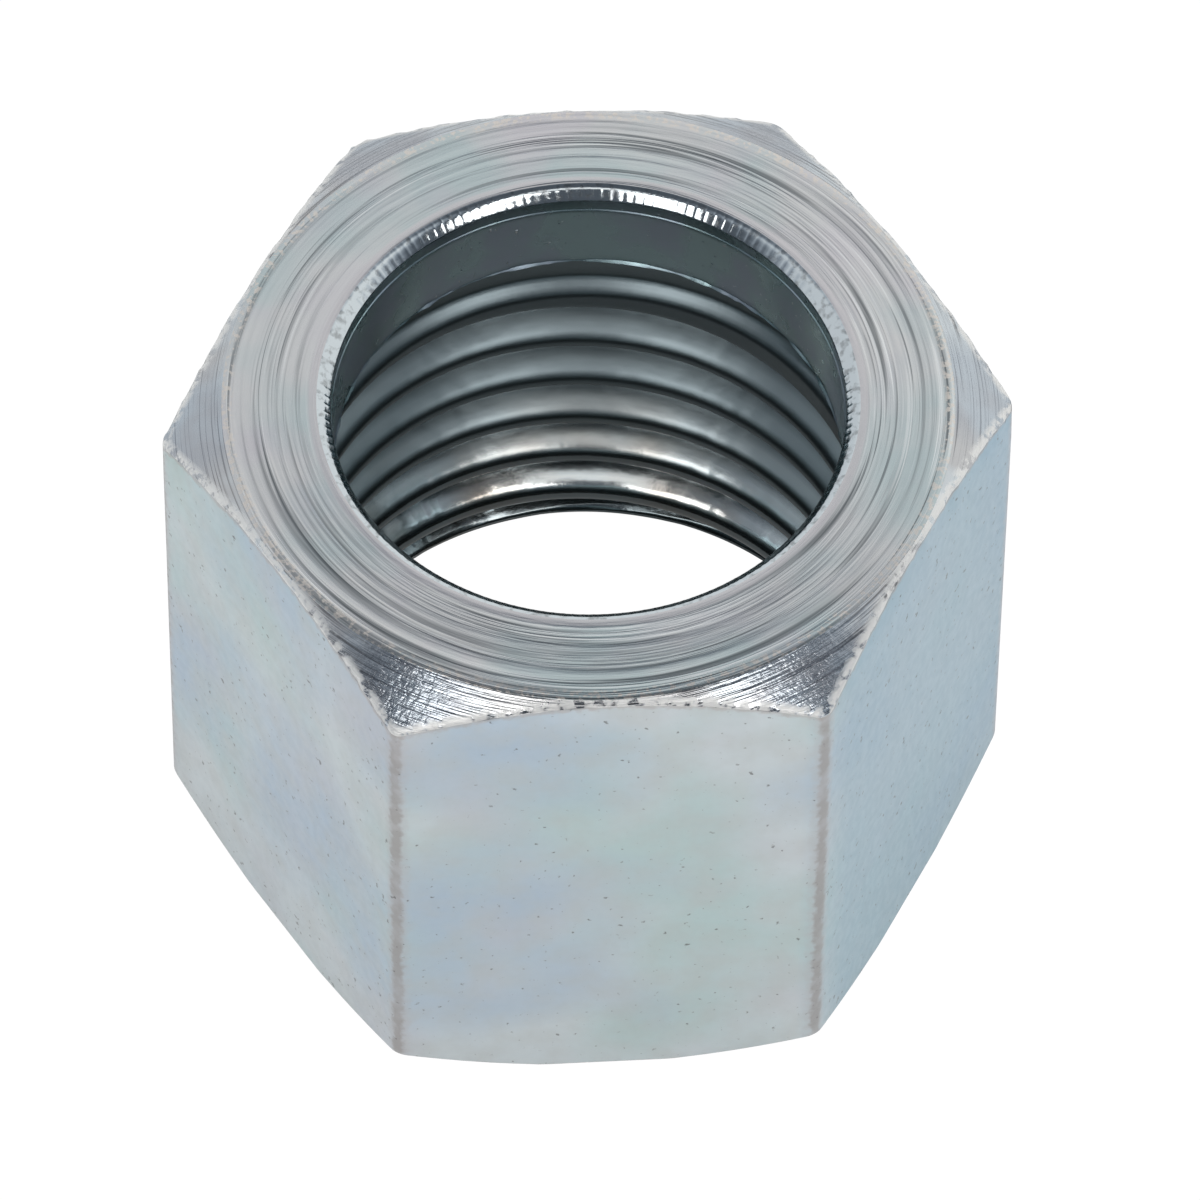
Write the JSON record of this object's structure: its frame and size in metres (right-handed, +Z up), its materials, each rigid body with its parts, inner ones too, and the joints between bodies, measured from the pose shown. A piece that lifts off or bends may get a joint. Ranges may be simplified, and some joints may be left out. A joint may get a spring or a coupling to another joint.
{
  "type": "hex nut",
  "caption": "Tall hexagon union nut: plain collar at the top of the bore, right-hand internal thread below it, both ends chamfered.",
  "frame": {"origin": "centre of the bottom face, on the bore's axis, where the thread's lead-in opens", "axes": "+Z up along the bore, from the threaded end to the collar end; +X to one upright corner of the hexagon; -Y square out of one spanner flat"},
  "size_m": [0.016, 0.014, 0.012],
  "materials": {
    "zinc_plated_steel": "satin clear-passivated zinc plate on turned and drawn steel"
  },
  "bodies": {
    "root": {"nut_body": "zinc_plated_steel"}
  },
  "joints": []
}
